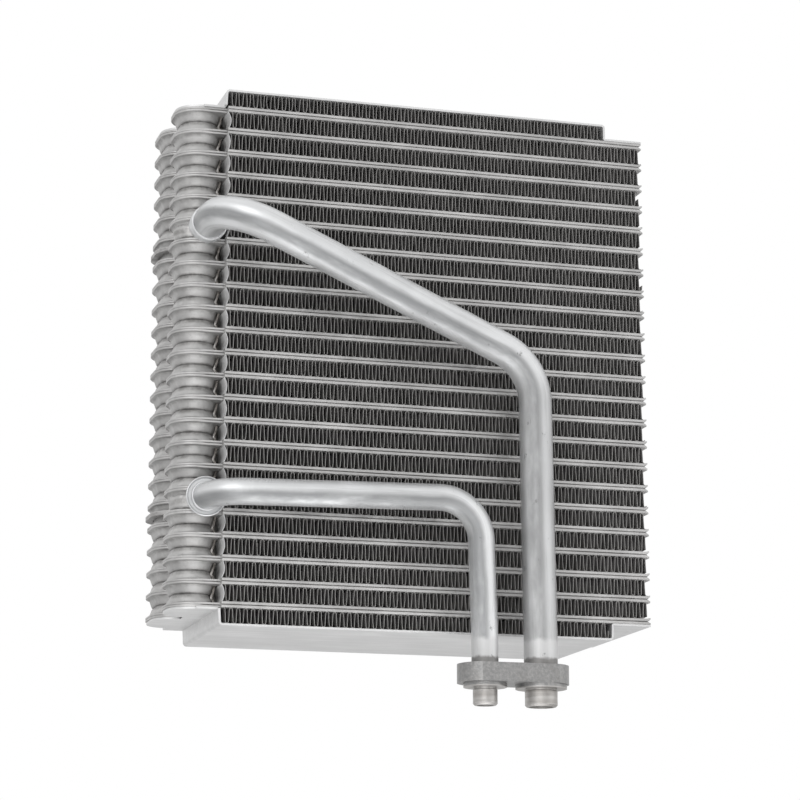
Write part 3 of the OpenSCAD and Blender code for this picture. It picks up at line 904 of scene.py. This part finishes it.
def bent_pipe(name, route, radii, pipe_r):
    """A ring extruded along each run of a route and spun round each of its bends"""
    corners = [Vector(c) * MM for c in route]
    way = (corners[1] - corners[0]).normalized()
    bpy.ops.object.select_all(action="DESELECT")
    bpy.ops.mesh.primitive_circle_add(
        vertices=PIPE_SIDES, radius=pipe_r * MM, location=corners[0],
        rotation=way.to_track_quat("Z", "Y").to_euler(),
    )
    pipe = bpy.context.object
    pipe.name = name
    bpy.ops.object.transform_apply(location=True, rotation=True, scale=True)
    start_edit(pipe)
    bpy.ops.mesh.select_all(action="SELECT")
    here = corners[0]
    for before, corner, after, radius in zip(corners, corners[1:], corners[2:], radii):
        into = (corner - before).normalized()
        out = (after - corner).normalized()
        turn = into.angle(out)
        back = radius * MM * math.tan(turn / 2)
        run_to(here, corner - into * back)
        inward = (out - into * into.dot(out)).normalized()
        bpy.ops.mesh.spin(
            steps=max(2, round(turn / BEND_STEP)), angle=-turn,
            center=corner - into * back + inward * radius * MM, axis=into.cross(out),
        )
        here = corner + out * back
    run_to(here, corners[-1])
    bpy.ops.mesh.select_all(action="SELECT")
    bpy.ops.mesh.normals_make_consistent(inside=False)
    end_edit()
    return pipe


def run_to(start, end):
    """Extrudes the selected ring from start to end, in even steps"""
    steps = max(1, round((end - start).length / RUN_STEP))
    for _ in range(steps):
        bpy.ops.mesh.extrude_region_move(
            TRANSFORM_OT_translate={"value": (end - start) / steps}
        )


def note_place(pipe, pipe_r):
    """Gives each point its place round the pipe, from its front, and along it, for the streaks and
    the painted reflection stripe
    """
    points = pipe.data.vertices
    end = [point.co.copy() for point in points[len(points) - PIPE_SIDES:]]
    front = min(range(PIPE_SIDES), key=lambda i: end[i].y)
    quarter = end[(front + PIPE_SIDES // 4) % PIPE_SIDES]
    sense = 1 if quarter.x > end[front].x else -1
    along = pipe.data.attributes.new("pipe_place", "FLOAT_VECTOR", "POINT")
    length = 0.0
    last = None
    for ring in range(len(points) // PIPE_SIDES):
        first = ring * PIPE_SIDES
        middle = sum((points[first + i].co for i in range(PIPE_SIDES)), Vector()) / PIPE_SIDES
        if last is not None:
            length += (middle - last).length
        last = middle
        for i in range(PIPE_SIDES):
            turn = sense * 2 * math.pi * (i - front) / PIPE_SIDES
            along.data[first + i].vector = (
                pipe_r * MM * math.cos(turn), pipe_r * MM * math.sin(turn), length,
            )


def add_pipes(material):
    """The two drawn pipes, hollow"""
    for node, (route, radii, pipe_r) in PIPE_ROUTES.items():
        pipe = bent_pipe(f"{node}_drawn", route, radii, pipe_r)
        note_place(pipe, pipe_r)
        apply_modifier(pipe, "SOLIDIFY", thickness=PIPE_WALL, offset=-1)
        set_down(pipe, material)
        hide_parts(node)


# Nozzles: a flange with a recess round the pipe, and a lumpy pad between the rims of two cups
NOZZLE_FLANGE = {"suction": 8.9 * MM, "liquid": 9.6 * MM}
NOZZLE_TUBE = {"suction": 7, "liquid": 19}
FLANGE_FRONT = 18.6 * MM
PAD_INNER_R = 8.6 * MM
PAD_OUTER_R = 11.9 * MM
PAD_HEIGHT = 7.4 * MM
PAD_HALFWAY_TAPER = 0.5 * MM
PAD_TOP_TAPER = 0.9 * MM
PAD_TURN = math.radians(112)
PAD_LUMPS = 0.45 * MM
LARGE_LUMP = 2.6 * MM
SMALL_LUMP = 1.1 * MM
SMALL_LUMP_SHARE = 0.5
PAD_SHY = 0.2 * MM
FLANGE_SIDES = 64
PAD_STEPS = 12


def flange_ring(name, x, z, pipe_r, flange_r):
    """A sleeve with a flange; its outline holds radii and the depths behind the front, in mm"""
    inner = pipe_r - 0.2 * MM
    sleeve = pipe_r + 0.7 * MM
    outline = (
        (inner, 1.0),
        (flange_r - 1.1 * MM, 0.9),
        (flange_r - 0.8 * MM, 0.2),
        (flange_r - 0.4 * MM, 0.0),
        (flange_r - 0.05 * MM, 0.25),
        (flange_r, 0.9),
        (flange_r - 0.5 * MM, 1.4),
        (sleeve, 1.8),
        (sleeve, 9.0),
        (inner, 9.0),
        (inner, 1.0),
    )
    ring = draw_line(name, [(x + r, FLANGE_FRONT + y * MM, z) for r, y in outline])
    start_edit(ring)
    bpy.ops.mesh.select_all(action="SELECT")
    bpy.ops.mesh.spin(steps=FLANGE_SIDES, angle=2 * math.pi, center=(x, 0, z), axis=(0, 1, 0))
    bpy.ops.mesh.select_all(action="SELECT")
    bpy.ops.mesh.remove_doubles(threshold=SMALL)
    bpy.ops.mesh.select_all(action="SELECT")
    bpy.ops.mesh.normals_make_consistent(inside=False)
    end_edit()
    return ring


def nozzle_pad(name, low_z, seed):
    """A block spun part of the way round the front tank, softened and made uneven"""
    corners = (
        (PAD_INNER_R, low_z),
        (PAD_OUTER_R, low_z),
        (PAD_OUTER_R - PAD_HALFWAY_TAPER, low_z + PAD_HEIGHT / 2),
        (PAD_OUTER_R - PAD_TOP_TAPER, low_z + PAD_HEIGHT),
        (PAD_INNER_R, low_z + PAD_HEIGHT),
        (PAD_INNER_R, low_z),
    )
    pad = draw_line(name, [(TANK_X - r, TANKS[0][0], z) for r, z in corners])
    start_edit(pad)
    bpy.ops.mesh.select_all(action="SELECT")
    bpy.ops.mesh.remove_doubles(threshold=SMALL)
    bpy.ops.mesh.select_all(action="SELECT")
    bpy.ops.mesh.edge_face_add()
    bpy.ops.mesh.spin(
        steps=PAD_STEPS, angle=-PAD_TURN, center=(TANK_X, TANKS[0][0], 0), axis=(0, 0, 1),
    )
    bpy.ops.mesh.select_all(action="SELECT")
    bpy.ops.mesh.normals_make_consistent(inside=False)
    end_edit()
    apply_modifier(pad, "SUBSURF", levels=2, render_levels=2)
    shift = Vector((seed, 2 * seed, 3 * seed))
    for point in pad.data.vertices:
        lump = noise.noise(point.co / LARGE_LUMP + shift)
        lump += SMALL_LUMP_SHARE * noise.noise(point.co / SMALL_LUMP + shift)
        point.co += point.normal * lump * PAD_LUMPS
    return pad


def add_nozzles(pipe_material, pad_material):
    """A flange and a pad at the start of each pipe"""
    for name, flange_r in NOZZLE_FLANGE.items():
        x, z, pipe_r = pipe_joint(name, 0)
        ring = flange_ring(f"{name}_nozzle_flange", x, z, pipe_r, flange_r)
        set_down(ring, pipe_material, smooth_angle=50)
        low_z = tube_middle(NOZZLE_TUBE[name]) + RIM_HALF + PAD_SHY
        pad = nozzle_pad(f"{name}_nozzle_pad", low_z, SEED + len(name))
        set_down(pad, pad_material, smooth_angle=60)
        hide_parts(f"{name}_nozzle")


# Beads of braze where the pipes join
BEAD_STEPS = 72
BEAD_RINGS = 8
BEAD_WAVES = range(2, 15)
NOZZLE_BEAD_R = 0.55 * MM
NOZZLE_BEAD_GAP = 0.25 * MM
NOZZLE_BEAD_ROUGH = 0.25
NOZZLE_BEAD_RISE = 0.1 * MM
BLOCK_BEAD_R = 0.6 * MM
BLOCK_BEAD_GAP = 0.2 * MM
BLOCK_BEAD_ROUGH = 0.3
BLOCK_BEAD_RISE = 0.15 * MM


def braze_bead(name, ring_r, bead_r, rough, seed):
    """A wavy ring of braze round the Z axis, to be moved to its pipe"""
    bpy.ops.object.select_all(action="DESELECT")
    bpy.ops.mesh.primitive_torus_add(
        major_radius=ring_r, minor_radius=bead_r,
        major_segments=BEAD_STEPS, minor_segments=BEAD_RINGS,
    )
    bead = bpy.context.object
    bead.name = name
    chance = random.Random(seed)
    waves = [(k, chance.uniform(0, 2 * math.pi), chance.uniform(0.3, 1) / k) for k in BEAD_WAVES]
    for point in bead.data.vertices:
        x, y, z = point.co
        turn = math.atan2(y, x)
        swell = 1 + rough * sum(a * math.sin(k * turn + b) for k, b, a in waves)
        out = math.hypot(x, y) - ring_r
        at = ring_r + out * swell
        point.co = (at * math.cos(turn), at * math.sin(turn), z * swell)
    return bead


def add_nozzle_beads(material):
    """A bead round each pipe where it enters its nozzle"""
    for name in NOZZLE_FLANGE:
        x, z, pipe_r = pipe_joint(name, 0)
        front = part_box(f"{name}_nozzle")[0].y
        bead = braze_bead(
            f"{name}_nozzle_braze", pipe_r + NOZZLE_BEAD_GAP, NOZZLE_BEAD_R, NOZZLE_BEAD_ROUGH,
            SEED + len(name),
        )
        start_edit(bead)
        bpy.ops.mesh.select_all(action="SELECT")
        bpy.ops.transform.rotate(value=math.pi / 2, orient_axis="X", center_override=(0, 0, 0))
        bpy.ops.transform.translate(value=(x, front - NOZZLE_BEAD_RISE, z))
        end_edit()
        set_down(bead, material, smooth_angle=60)


def add_block_beads(material):
    """A bead round each pipe where it enters the block"""
    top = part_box("pipe_block")[1].z
    for name in NOZZLE_FLANGE:
        x, _, pipe_r = pipe_joint(name, -1)
        bead = braze_bead(
            f"{name}_block_braze", pipe_r + BLOCK_BEAD_GAP, BLOCK_BEAD_R, BLOCK_BEAD_ROUGH,
            SEED * 3 + len(name),
        )
        start_edit(bead)
        bpy.ops.mesh.select_all(action="SELECT")
        bpy.ops.transform.translate(value=(x, 0, top + BLOCK_BEAD_RISE))
        end_edit()
        set_down(bead, material, smooth_angle=60)


# Chevrons of braze between the webs of two tubes, beside the front cups
TAB_TIP_X = -152.7 * MM
TAB_TIP_DROP = 1.2 * MM
TAB_END_X = -151.1 * MM
TAB_FRONT = 30.0 * MM
TAB_DEPTH = 5 * MM
TAB_SHEET = 0.9 * MM
TAB_FLAT = 0.3 * MM
TAB_OPEN = 0.15 * MM
TAB_FIRST_OUT, TAB_FIRST_RISE = 0.45, 0.3
TAB_LAST_OUT, TAB_LAST_RISE = 0.55, 0.66
TUBE_EDGE = 1.1 * MM
TAB_SHIFT = 0.2
NOZZLE_GAPS = [number - 1 for number in NOZZLE_TUBE.values()]


def plate_tab(name, low_z, high_z, seed):
    """A thin strip from one web to the next, bent to a point on its left"""
    chance = random.Random(seed)
    middle = (low_z + high_z) / 2 - TAB_TIP_DROP
    tip_x = TAB_TIP_X + chance.uniform(-TAB_SHIFT, TAB_SHIFT) * MM
    out = TAB_END_X - tip_x
    bpy.ops.object.select_all(action="DESELECT")
    bpy.ops.mesh.primitive_plane_add(size=1)
    tab = bpy.context.object
    tab.name = name
    start_edit(tab)
    bpy.ops.transform.resize(value=(TAB_FLAT, TAB_DEPTH, 1))
    bpy.ops.transform.translate(value=(tip_x, TAB_FRONT + TAB_DEPTH / 2, middle))
    for side in (1, -1):
        select_points(tab, lambda p: (p.x - tip_x) * side > 0 and abs(p.z - middle) < SMALL)
        bpy.ops.transform.translate(value=(-side * TAB_OPEN, 0, side * TAB_OPEN))
    for side, end_z in ((1, high_z), (-1, low_z)):
        select_points(tab, lambda p: (p.z - middle) * side > SMALL)
        rise = end_z - middle
        for across, up in (
            (TAB_FIRST_OUT * out, TAB_FIRST_RISE * rise),
            (TAB_LAST_OUT * out, TAB_LAST_RISE * rise - TAB_OPEN * side),
        ):
            bpy.ops.mesh.extrude_region_move(TRANSFORM_OT_translate={"value": (across, 0, up)})
    end_edit()
    apply_modifier(tab, "SOLIDIFY", thickness=TAB_SHEET, offset=0)
    return tab


def add_plate_tabs(material):
    """A chevron in each gap between two tubes, apart from the nozzles' gaps"""
    for number in range(1, len(TUBES)):
        if number in NOZZLE_GAPS:
            continue
        high_z = tube_middle(number) - TUBE_EDGE
        low_z = tube_middle(number + 1) + TUBE_EDGE
        tab = plate_tab(f"plate_tab_{number:02d}", low_z, high_z, SEED * 5 + number)
        set_down(tab, material, smooth_angle=30)


# Light: a soft tent, with large lamps and a white background
BACKGROUND = 1.0
TENT_LOW = 0.46
TENT_HIGH = 0.78
HORIZON = 0.06
HORIZON_SPREAD = 0.55
RAY_KINDS = (0, 3, 6)


def add_world():
    """A tent that is darker round the horizon, and plain white where the camera looks past"""
    world = bpy.data.worlds.new("light_tent")
    bpy.context.scene.world = world
    world.use_nodes = True
    tree = world.node_tree
    shader = tree.nodes["Background"]
    camera, glossy, through = (add_node(tree, "ShaderNodeLightPath", out=i) for i in RAY_KINDS)
    seen = (camera + glossy + through).clamp()
    way = add_node(tree, "ShaderNodeTexCoord")
    height = add_node(tree, "ShaderNodeSeparateXYZ", out=2, Vector=way)
    from_horizon = (height - HORIZON).maths("ABSOLUTE").ramp(0.0, HORIZON_SPREAD)
    tent = from_horizon * (TENT_HIGH - TENT_LOW) + TENT_LOW
    level = seen * BACKGROUND + (1 - seen) * tent
    shader.inputs["Color"].default_value = (1, 1, 1, 1)
    tree.links.new(level.socket, shader.inputs["Strength"])


def add_lamp(name, place, target, size, power):
    """A round soft lamp that faces its target"""
    bpy.ops.object.light_add(type="AREA", location=place)
    lamp = bpy.context.object
    lamp.name = name
    lamp.data.shape = "DISK"
    lamp.data.size = size
    lamp.data.energy = power
    aim = Vector(target) - Vector(place)
    lamp.rotation_euler = aim.to_track_quat("-Z", "Y").to_euler()


# Lamps: place, target, size in metres and power in watts
PART_MIDDLE = (cad_box[0] + cad_box[1]) / 2
LAMPS = {
    "key_lamp": ((-0.9, -1.1, 0.9), PART_MIDDLE, 1.3, 5.6),
    "side_lamp": ((1.1, -0.8, 0.3), PART_MIDDLE, 1.3, 2.5),
    "low_lamp": ((-0.3, -0.55, -0.2), (-0.08, 0.05, 0.06), 0.6, 1.3),
    "table_glow": ((-0.07, -0.14, -0.22), (-0.07, -0.1, 1), 0.35, 0.5),
}
FLOOR_Z = -0.26
FLOOR_SIZE = 12


def add_floor():
    """A plain pale floor, well below the part"""
    bpy.ops.mesh.primitive_plane_add(size=FLOOR_SIZE, location=(0, 0, FLOOR_Z))
    floor = bpy.context.object
    floor.name = "studio_floor"
    material = bpy.data.materials.new("pale_floor")
    material.use_nodes = True
    shader = material.node_tree.nodes["Principled BSDF"]
    shader.inputs["Base Color"].default_value = grey(0.8)
    shader.inputs["Roughness"].default_value = 0.9
    floor.data.materials.append(material)


add_camera()
add_world()
add_floor()
for name, (place, target, size, power) in LAMPS.items():
    add_lamp(name, place, target, size, power)

tube_sheet = tube_finish()
drawn_pipe = pipe_finish()
fin_stock = fin_finish()
dress(["upper_partition", "lower_partition"], tube_sheet)
dress(["pipe_block"], block_finish())

add_tubes(tube_sheet)
add_end_plates(end_plate_finish())
add_fins(fin_stock)
add_first_legs(clad_leg_finish())
add_pipes(drawn_pipe)
add_nozzles(drawn_pipe, tube_sheet)
add_nozzle_beads(drawn_pipe)
add_block_beads(drawn_pipe)
add_plate_tabs(braze_finish())

bpy.context.scene.view_settings.view_transform = "Standard"
